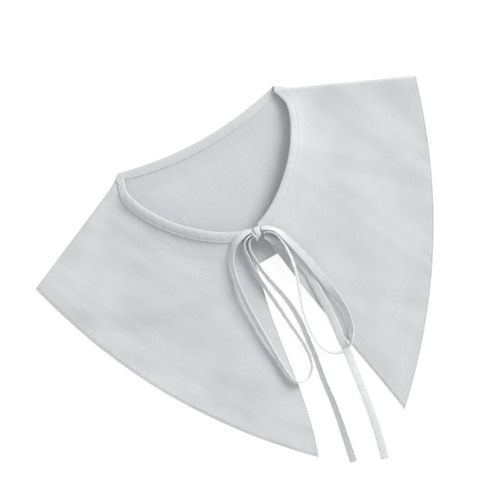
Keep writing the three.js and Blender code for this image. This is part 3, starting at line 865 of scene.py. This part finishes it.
def frontHeight(x, y):
    side = np.where(x < 0, -1.0, 1.0)
    neck = shoulderBase(1, 0.0)
    out = shoulderOut(1)
    reach = body["cornerHalfSpan"] - neck[0]
    along = np.clip((np.abs(x) - neck[0]) / reach, 0, 1)
    inward = np.maximum(0, -((x - side * neck[0]) * out[0] * side + (y - neck[1]) * out[1]))
    toKnot = np.hypot(x - body["frontSplitX"], y - (body["neckWidestY"] - body["neckDrop"]))
    neckDistance = fromNeck(x, y)
    overBack = 1 - smoothStep(0, lie["hemStepRun"], pastBackHem(x, y) - 2 * lie["halfCloth"])
    puff = lerp(lie["shoulderPuffNeck"], lie["shoulderPuffCorner"], along)
    puff = puff * bell(inward / lie["shoulderPuffReach"])
    lip = lie["neckLip"] * bell(neckDistance / lie["neckLipReach"])
    lip = lip * (1 - lie["lipByKnot"] * bell(toKnot / lie["lipByKnotReach"]))
    rise = lie["neckRise"] * bell(neckDistance / lie["neckRiseReach"])
    lift = lie["knotRise"] * bell(toKnot / lie["knotRiseReach"])
    # Everything that stands up lies down towards the shoulder fold
    standing = lerp(lie["foldFlatShare"], 1, smoothStep(0, lie["foldFlatReach"], inward)) * (rise + lift)
    standing = standing + lerp(lie["foldFlatShare"], 1, smoothStep(0, lie["lipFlatReach"], inward)) * lip
    layers = (2 * lie["halfCloth"] + lie["layerGap"]) * overBack
    return lie["halfCloth"] + layers + puff + standing + swellAt(x, y)


def backHeight(x, y):
    share = np.clip((backNeckLine(x) - y) / lie["backLipReach"], 0, 1)
    flatShare = smoothStep(lie["backFlatStartX"], body["neckHalfWidth"], np.abs(x))
    lip = lie["backLip"] * lerp(1, lie["backFlatShare"], flatShare)
    return lie["halfCloth"] + lip * (1 - share * share) ** 3


def frontTop(plan):
    x, y = plan[..., 0], plan[..., 1]
    return frontHeight(x, y) + waveAt(x, y)


def backTop(plan):
    x, y = plan[..., 0], plan[..., 1]
    return backHeight(x, y) + lie["backWaveShare"] * np.abs(waveAt(x, y, lie["backWaveTurn"]))


# Plan of a front panel: s is 0 at the front edge and 1 at the shoulder, t is 0 at the neck and 1 at the hem
def frontPlan(side, s, t):
    bottom, top = neckAngles(side)
    s, t = np.asarray(s, float), np.asarray(t, float)
    tip = np.array([body["tipX"][side], -body["frontLength"]])
    corner = shoulderBase(side, 1.0)
    hemRun = unit(corner - tip)
    hemOut = np.array([side * hemRun[1], -side * hemRun[0]])
    bow, lowerBow = body["frontBow"][side], body["lowerBow"][side]

    def neck(share):
        return neckPoint(side, lerp(bottom, top, share))

    def hem(share):
        bulge = 4 * body["hemBulge"] * share * (1 - share)
        return tip + (corner - tip) * share[..., None] + hemOut * bulge[..., None]

    def front(share):
        start = neck(np.float64(0))
        swing = 4 * bow * share * (1 - share) ** 2 + 4 * lowerBow * share ** 2 * (1 - share)
        if side < 0:  # drawn aside under the ties
            tuck = bell((share - body["leftTuckShare"]) / body["leftTuckSpread"])
            swing = swing + body["leftTuck"] * tuck * smoothStep(0, body["leftTuckFrom"], share)
        return start + (tip - start) * share[..., None] + np.array([side, 0.0]) * swing[..., None]

    sColumn, tColumn = s[..., None], t[..., None]
    ruledAcross = neck(s) * (1 - tColumn) + hem(s) * tColumn
    ruledAlong = front(t) * (1 - sColumn) + shoulderBase(side, t) * sColumn
    neckRow = neck(np.float64(0)) * (1 - sColumn) + neck(np.float64(1)) * sColumn
    hemRow = tip * (1 - sColumn) + corner * sColumn
    return ruledAcross + ruledAlong - neckRow * (1 - tColumn) - hemRow * tColumn


def backPlan(s, t):
    neckX = lerp(shoulderBase(-1, 0.0)[0], shoulderBase(1, 0.0)[0], s)
    hemX = lerp(-body["cornerHalfSpan"], body["cornerHalfSpan"], s)
    y = lerp(backNeckLine(neckX), backHemLine(hemX), t) + backNeckRise(neckX, t)
    return np.stack([lerp(neckX, hemX, t), y], -1)


def withHeight(plan, height):
    return np.concatenate([plan, height[..., None]], -1)


# Middle of the cloth and its place on the flat cut. strip: 0 to 1 left front, to 2 left fold,
# to 3 back, to 4 right fold, to 5 right front. t: 0 at the neck, 1 at the hem.
def clothAt(strip, t):
    strip, t = np.broadcast_arrays(np.asarray(strip, float), np.asarray(t, float))
    points = np.empty(strip.shape + (3,))
    flat = np.empty(strip.shape + (2,))
    for side in (-1, 1):
        fromFront = strip if side < 0 else stripCount - strip
        out = shoulderOut(side)
        here = fromFront <= 1
        plan = frontPlan(side, fromFront[here], t[here])
        points[here] = withHeight(plan, frontTop(plan))
        inward = -((plan - shoulderBase(side, 0.0)) @ out)
        flat[here] = plan + 2 * out * inward[..., None]

        here = (fromFront > 1) & (fromFront < 2)
        turn = fromFront[here] - 1
        base = shoulderBase(side, t[here])
        reach = lerp(lie["foldReachNeck"], lie["foldReachCorner"], t[here])
        outward = reach * np.sin(turn * math.pi)
        upper, lower = frontTop(base), backTop(base)
        height = (upper + lower) / 2 + (upper - lower) / 2 * np.cos(turn * math.pi)
        fold = base + out * outward[..., None]
        fold[..., 1] += backNeckRise(shoulderBase(1, 0.0)[0], t[here]) * smoothStep(0, 1, turn)
        points[here] = withHeight(fold, height)
        flat[here] = base + out * (reach * (1 - turn))[..., None]
    here = (strip >= 2) & (strip <= 3)
    plan = backPlan(strip[here] - 2, t[here])
    points[here] = withHeight(plan, backTop(plan))
    flat[here] = plan
    return toRow(points), flat + flatStart["cloth"]


# At each place, the direction out of the right side of the cloth, the direction away from the
# neck, and the metres that one t covers there
def clothFrames(strip, t, step=0.004):
    before, after = np.maximum(strip - step, 0), np.minimum(strip + step, stripCount)
    nearT, farT = np.maximum(t - step, 0), np.minimum(t + step, 1)
    along = clothAt(after, t)[0] - clothAt(before, t)[0]
    away = clothAt(strip, farT)[0] - clothAt(strip, nearT)[0]
    speed = np.linalg.norm(away, axis=-1) / (farT - nearT)
    return unit(np.cross(along, away)), unit(away), speed


# Columns from the left front edge round to the right one, with so many in each strip
def columnStrips(front, fold, back):
    counts = (front, fold, back, fold, front)
    strips = [start + np.arange(count) / count for start, count in enumerate(counts)]
    return np.concatenate(strips + [[stripCount]])


# How the outer edge is sewn: distance in from the edge and share of the cloth's thickness
hemProfile = {
    "inset": [0.0, 0.0003, 0.0007, 0.0011, 0.0014, 0.0018, 0.0024, 0.0036, 0.0056, 0.0078, 0.0105],
    "thickness": [0.45, 0.85, 1.12, 1.0, 0.5, 1.0, 1.16, 1.12, 1.08, 1.0, 1.0],
    "wholeThickness": 0.92,
    "stitchInset": 0.0014,
    "stitchFromRow": 5,
    "edgeRound": 0.00035,
    "cornerRound": 0.0004,
}
# Puckers that the edge stitching pulls up, and the gathers and the groove along the binding
puckers = {
    "height": 0.00022, "from": 0.002, "reach": 0.009,
    "length": 0.0125, "bend": 2.2, "bendPace": 0.21, "ease": 0.4, "easePace": 0.13, "easeStart": 1,
}
gathers = {
    "height": 0.00013, "from": 0.0082, "start": 0.003, "reach": 0.006,
    "length": 0.0075, "bend": 2.4, "bendPace": 0.17, "ease": 0.5, "easePace": 0.11, "easeStart": 0,
}
groove = {"depth": 0.0003, "past": 0.0003, "reach": 0.0006}
hemStitch = {
    "length": 0.0017,
    "gap": 0.0009,
    "width": 0.00045,
    "sink": 0.3,
}
grid = {
    "frontColumns": 118, "foldColumns": 18, "backColumns": 118, "rows": 74,
    "probes": 61, "speedProbes": (0.002, 0.006),
}


# Rows at set distances from the hem, and evenly spread from there to the neck
def clothPlaces():
    inset = np.array(hemProfile["inset"])
    count = len(inset)
    nominal = columnStrips(grid["frontColumns"], grid["foldColumns"], grid["backColumns"])
    probe = np.linspace(0, 1, grid["probes"])
    run = runAlong(clothAt(nominal[:, None], probe[None, :])[0], 1)
    t = np.empty((len(nominal), grid["rows"] + count))
    for i, length in enumerate(run[:, -1]):
        openRows = np.linspace(0, length - inset[-1], grid["rows"], endpoint=False)
        t[i] = np.interp(np.concatenate([openRows, length - inset[::-1]]), run[i], probe)
    t[:, -1] = 1
    strip = np.repeat(nominal[:, None], t.shape[1], 1)
    # The columns by the two front edges lie at the same set distances from the edge
    near, far = grid["speedProbes"]
    fromEdge = np.arange(grid["frontColumns"] + 1)
    rest = (fromEdge - (count - 1)) / (len(fromEdge) - count)
    for side, columns in ((-1, fromEdge), (1, len(nominal) - 1 - fromEdge)):
        here = t[columns]
        probed = [frontPlan(side, np.full(here.shape, s), here) for s in (near, far)]
        speed = np.linalg.norm(probed[1] - probed[0], axis=-1) / (far - near)
        s = np.empty(here.shape)
        for k in fromEdge:
            s[k] = inset[k] / speed[k] if k < count else lerp(inset[-1] / speed[k], 1, rest[k])
        strip[columns] = s if side < 0 else stripCount - s
    return strip, t


# Uneven waves along a seam, bending in their pace and easing off here and there
def seamWaves(run, seam):
    turn = run * (2 * math.pi / seam["length"])
    bend = seam["bend"] * np.sin(turn * seam["bendPace"])
    ease = 1 - seam["ease"] + seam["ease"] * np.sin(turn * seam["easePace"] + seam["easeStart"])
    return np.sin(turn + bend) * ease


def pucker(run, distance):
    height = puckers["height"] * seamWaves(run, puckers)
    return height * bell((distance - puckers["from"]) / puckers["reach"])


# Faces of the cloth: its two sides, the neck edge, and the rounded hem and front edges
def clothFaces(columns, rows):
    count = columns * rows
    hemFirst, startFirst, endFirst = 2 * count, 2 * count + columns, 2 * count + columns + rows - 1
    faces = []

    def at(i, j):
        return i * rows + j

    for i in range(columns - 1):
        for j in range(rows - 1):
            a, b, c, d = at(i, j), at(i + 1, j), at(i + 1, j + 1), at(i, j + 1)
            faces.append((a, b, c, d))
            faces.append((count + d, count + c, count + b, count + a))
        faces.append((at(i, 0), count + at(i, 0), count + at(i + 1, 0), at(i + 1, 0)))
        h, n = hemFirst + i, hemFirst + i + 1
        faces.append((at(i, rows - 1), at(i + 1, rows - 1), n, h))
        faces.append((h, n, count + at(i + 1, rows - 1), count + at(i, rows - 1)))
    for first, i, hemCorner in ((startFirst, 0, hemFirst), (endFirst, columns - 1, hemFirst + columns - 1)):
        for j in range(rows - 1):
            a = first + j
            b = a + 1 if j + 1 < rows - 1 else hemCorner
            faces.append((at(i, j), at(i, j + 1), b, a))
            faces.append((a, b, count + at(i, j + 1), count + at(i, j)))
        faces.append((at(i, 0), first, count + at(i, 0)))
    return faces


def makeBody():
    strip, t = clothPlaces()
    middle, flat = clothAt(strip, t)
    normal, away, _ = clothFrames(strip, t)
    toHem = runAlong(middle[:, ::-1], 1)[:, ::-1]
    fromStart = runAlong(middle)
    toFront = np.minimum(fromStart, fromStart[-1] - fromStart)
    sewn = np.interp(np.minimum(toHem, toFront), hemProfile["inset"], hemProfile["thickness"])
    half = lie["halfCloth"] * hemProfile["wholeThickness"] * sewn

    lift = pucker(runAlong(middle[:, -1])[:, None], toHem) + pucker(runAlong(middle[0])[None, :], toFront)
    past = runAlong(middle, 1) - gathers["from"]
    shape = smoothStep(0, gathers["start"], past) * bell(past / gathers["reach"])
    lift = lift + gathers["height"] * seamWaves(runAlong(middle[:, 0]), gathers)[:, None] * shape
    lift = lift - groove["depth"] * bell((past - groove["past"]) / groove["reach"])
    middle = middle + normal * lift[..., None]
    middle[..., 2] = np.maximum(middle[..., 2], half)
    right = middle + normal * half[..., None]
    wrong = middle - normal * half[..., None]

    hemOut = middle[:, -1] + away[:, -1] * hemProfile["edgeRound"]
    startOut = middle[0] + unit(middle[0] - middle[1]) * hemProfile["edgeRound"]
    endOut = middle[-1] + unit(middle[-1] - middle[-2]) * hemProfile["edgeRound"]
    for end, beside in ((0, 1), (-1, -2)):
        outward = unit(away[end, -1] + unit(middle[end, -1] - middle[beside, -1]))
        hemOut[end] = middle[end, -1] + outward * hemProfile["cornerRound"]
    points = np.concatenate([right.reshape(-1, 3), wrong.reshape(-1, 3), hemOut, startOut[:-1], endOut[:-1]])
    bothSides = [flat.reshape(-1, 2)] * 2
    flats = np.concatenate(bothSides + [flat[:, -1], flat[0, :-1], flat[-1, :-1]])
    piece = makePiece("collarBody", points, clothFaces(*strip.shape), cottonCloth, flats)
    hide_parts("collar_body")

    # Edge stitching along the hem and both front edges, on both sides of the cloth
    column = hemProfile["inset"].index(hemProfile["stitchInset"])
    row = strip.shape[1] - 1 - column
    downFront = slice(hemProfile["stitchFromRow"], row + 1)
    parts = []
    for surface, facing in ((right, normal), (wrong, -normal)):
        for line in ((slice(column, -column), row), (column, downFront), (-1 - column, downFront)):
            parts.append(stitchLine(surface[line], facing[line], hemStitch))
    points, faces, flats = joinParts(parts)
    points = np.array(points)
    points[:, 2] = np.maximum(points[:, 2], tie["floorGap"])
    # Their dark thread colour is painted shade along the edge
    hemStitches = makePiece("hemStitches", points, faces, shadedHemThread, flats)


makeBody()
print("body folded")


# The tape folded over the neck edge
binding = {
    "width": 0.008,
    "thickness": 0.00055,
    "clearance": 0.00008,
    "borderThickness": 0.15,
    "border": [(0.0001, 0.0), (0.0003, 0.0004), (0.0008, 0.00045)],  # back from the border, over the face
    "stitchInset": 0.0067,
    "stitchSink": 0.00025,
    "face": [  # distance in from the neck edge, over the face
        (0.0062, 0.0), (0.0052, 0.00005), (0.0034, 0.00007), (0.0016, 0.00005), (0.0, 0.0),
    ],
    "lip": [  # distance out past the neck edge, share of the face's height
        (0.00055, 0.86), (0.001, 0.5), (0.00118, 0.0), (0.001, -0.5), (0.00055, -0.86),
    ],
    "innerInset": 0.004,
    "innerLip": 0.00015,
    "foldEase": 1.0,
    "foldThin": 0.85,
    "roping": 0.00012,
    "ropingLength": 0.0085,
    "ropingSlant": 500,
    "ropingBend": 1.7,
    "ropingBendPace": 0.23,
    "columns": (110, 30, 110),
    "stitchColumns": (3, -3),
}


# Distance in from the neck edge and height over the cloth's middle, all round the section:
# the tape's outside, the line of stitches on its upper side, and the side that lies on the cloth
def bindingSection(inner, outer):
    width, middle = binding["width"], binding["innerInset"]
    stitches = (binding["stitchInset"], outer - binding["stitchSink"])
    top = [(width, inner + binding["borderThickness"] * binding["thickness"])]
    top += [(width - back, outer + rise) for back, rise in binding["border"]]
    top += [stitches]
    top += [(inset, outer + rise) for inset, rise in binding["face"]]
    lip = [(-out, outer * share) for out, share in binding["lip"]]
    under = [(inset, -height) for inset, height in reversed(top)]
    inside = [(width, -inner), (middle, -inner), (0.0, -inner), (-binding["innerLip"], 0.0)]
    inside += [(0.0, inner), (middle, inner), (width, inner)]
    return top + lip + under, stitches, inside


def makeBinding():
    strips = columnStrips(*binding["columns"])
    edge, _ = clothAt(strips, 0.0)
    _, awayEdge, speed = clothFrames(strips, np.zeros(len(strips)))
    run = runAlong(edge)[:, None]
    inner = lie["halfCloth"] + binding["clearance"]
    outside, stitches, inside = bindingSection(inner, inner + binding["thickness"])
    distance, height = np.array(outside + inside).T
    t = np.maximum(distance, 0) / speed[:, None]
    wide = np.repeat(strips[:, None], len(distance), 1)
    base, _ = clothAt(wide, t)
    normal, _, _ = clothFrames(wide, t)
    # Over the two folds the tape draws in, flush with the cloth
    overFold = np.sin(np.clip(strips - 1, 0, 1) * math.pi) + np.sin(np.clip(strips - 3, 0, 1) * math.pi)
    beyond = np.minimum(distance, 0) * (1 - binding["foldEase"] * overFold[:, None])
    raised = np.maximum(np.abs(height) - inner, 0) * (1 - binding["foldThin"] * overFold[:, None])
    turn = run * (2 * math.pi / binding["ropingLength"])
    bend = binding["ropingBend"] * np.sin(turn * binding["ropingBendPace"])
    rope = binding["roping"] * np.sin(turn + distance * binding["ropingSlant"] + bend)
    rope = rope * (np.arange(len(distance)) < len(outside))
    lift = np.sign(height) * (np.minimum(np.abs(height), inner) + raised + rope)
    points = base + normal * lift[..., None] + awayEdge[:, None] * beyond[..., None]
    flat = np.stack(np.broadcast_arrays(distance + flatStart["tape"], run), -1).reshape(-1, 2)
    faces = tubeFaces(*t.shape)
    piece = makePiece("neckBinding", points.reshape(-1, 3), faces, bindingTape, flat)
    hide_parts("neck_binding")

    columns = slice(*binding["stitchColumns"])
    upper = outside.index(stitches)
    lower = outside.index((stitches[0], -stitches[1]))
    parts = [
        stitchLine(points[columns, upper], normal[columns, upper]),
        stitchLine(points[columns, lower], -normal[columns, lower]),
    ]
    points, faces, flat = joinParts(parts)
    makePiece("bindingStitches", points, faces, cottonThread, flat)


makeBinding()
print("neck bound")


knot = {
    "centre": (0.0025, -0.0538, 0.0196),
    "core": (0.0034, 0.0044, 0.0036),
    "coreColumns": 48,
    "coreRows": 24,
    "ruck": 0.07,
    "ruckPaces": (7, 3),  # round the lump and down it
    "ruckBend": 1.1,
    "fineRuck": 0.03,
    "fineRuckPaces": (13, 5),
    "flatScale": 0.004,
    "stripColumns": 13,
    "stripSquareness": 6,
    "ridgePace": 9,
    "ridgeFrom": 0.3,
}
# Strips of tape in the knot. A row is x, y, z of its middle, its half width, and its across direction.
overKnot = {  # goes over the knot, broad at the neck and drawn together at the bottom
    "rows": [
        (0.0040, -0.0494, 0.0150, 0.0028, 1, -0.12, 0),
        (0.0040, -0.0488, 0.0186, 0.0032, 1, -0.14, 0),
        (0.0037, -0.0502, 0.0218, 0.0034, 1, -0.18, 0),
        (0.0031, -0.0527, 0.0235, 0.0029, 1, -0.26, 0.05),
        (0.0024, -0.0552, 0.0236, 0.0019, 1, -0.35, 0.05),
        (0.0016, -0.0573, 0.0222, 0.0012, 1, -0.4, 0),
        (0.0010, -0.0584, 0.0194, 0.0010, 1, -0.4, 0),
        (0.0010, -0.0582, 0.0165, 0.0010, 1, -0.4, 0),
    ],
    "thickness": 0.0011, "count": 40, "ridges": 0.00012, "ridgeTurn": 260,
}
rolledStrip = {  # lies beside it
    "rows": [
        (-0.0014, -0.0500, 0.0185, 0.0009, 1, 0.2, 0.4),
        (-0.0018, -0.0510, 0.0218, 0.0009, 1, 0.2, 0.4),
        (-0.0016, -0.0530, 0.0238, 0.0009, 1, 0.2, 0.3),
        (-0.0011, -0.0553, 0.0243, 0.0009, 1, 0.2, 0.2),
        (-0.0005, -0.0572, 0.0234, 0.0009, 1, 0.2, 0.1),
        (0.0001, -0.0585, 0.0210, 0.0009, 1, 0.2, 0),
        (0.0003, -0.0587, 0.0185, 0.0009, 1, 0.2, 0),
    ],
    "thickness": 0.0019, "count": 40, "ridges": 0.00008, "ridgeTurn": 5200,
}
curledEnd = {  # the small end of the rolled strip
    "rows": [
        (0.0001, -0.0576, 0.0226, 0.0008, 1, 0.3, 0),
        (-0.0006, -0.0583, 0.0230, 0.0010, 1, 0.3, 0),
        (-0.0009, -0.0591, 0.0220, 0.0010, 1, 0.3, 0),
        (-0.0006, -0.0597, 0.0204, 0.0008, 1, 0.3, 0),
    ],
    "thickness": 0.0018, "count": 24, "ridges": 0.0001, "ridgeTurn": 3000,
}


# The rucked lump inside the knot
def makeCore():
    columns, rows = knot["coreColumns"], knot["coreRows"]
    centre, size = toRow(knot["centre"]), np.array(knot["core"])
    (roundPace, downPace), (fineRound, fineDown) = knot["ruckPaces"], knot["fineRuckPaces"]
    points, flat = [], []
    for v in np.arange(1, rows) / rows * math.pi:
        for u in np.arange(columns) / columns * 2 * math.pi:
            bend = knot["ruckBend"] * math.sin(v * downPace)
            broad = knot["ruck"] * math.sin(u * roundPace + bend) * math.sin(v)
            fine = knot["fineRuck"] * math.sin(u * fineRound + v * fineDown)
            direction = np.array([math.sin(v) * math.cos(u), math.sin(v) * math.sin(u), math.cos(v)])
            points.append(centre + direction * size * (1 + broad + fine))
            flat.append((u * knot["flatScale"], v * knot["flatScale"]))
    faces = tubeFaces(rows - 1, columns)[:-2]
    north, south = len(points), len(points) + 1
    pole = np.array([0, 0, size[2]])
    points += [centre + pole, centre - pole]
    flat += [(0.0, 0.0), (0.0, math.pi * knot["flatScale"])]
    last = (rows - 2) * columns
    for k in range(columns):
        n = (k + 1) % columns
        faces.append((north, n, k))
        faces.append((south, last + k, last + n))
    return points, faces, flat


def makeStrip(rows, thickness, count, ridges, ridgeTurn):
    rows = np.asarray(rows, float)
    middle, places, length = smoothRoute(toRow(rows[:, :3]), count)
    half, *side = rowsAt(places, np.arange(len(rows)), rows[:, 3:]).T
    side = unit(np.stack(side, 1))
    tangent = unit(np.gradient(middle, axis=0))
    across = unit(side - tangent * (side * tangent).sum(1)[:, None])
    face = np.cross(across, tangent)
    shares = np.linspace(-1, 1, knot["stripColumns"])
    profile = np.sqrt(np.maximum(1 - shares ** knot["stripSquareness"], 0))
    at = np.concatenate([shares, shares[-2:0:-1]])
    lift = np.concatenate([profile, -profile[-2:0:-1]])
    along = np.linspace(0, length, count)
    crease = ridges * np.sin(at * knot["ridgePace"] + along[:, None] * ridgeTurn)
    up = lift * thickness / 2 + crease * (np.abs(lift) > knot["ridgeFrom"])
    points, faces, flat = sweptRings(middle, across, face, half[:, None] * at, up, along)
    return points.reshape(-1, 3), faces, flat


def makeKnot():
    strips = [makeStrip(**strip) for strip in (overKnot, rolledStrip, curledEnd)]
    points, faces, flat = joinParts([makeCore()] + strips)
    piece = makePiece("bowKnot", points, faces, cottonTape, flat)
    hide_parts("bow_knot")


makeKnot()
print("knot tied")
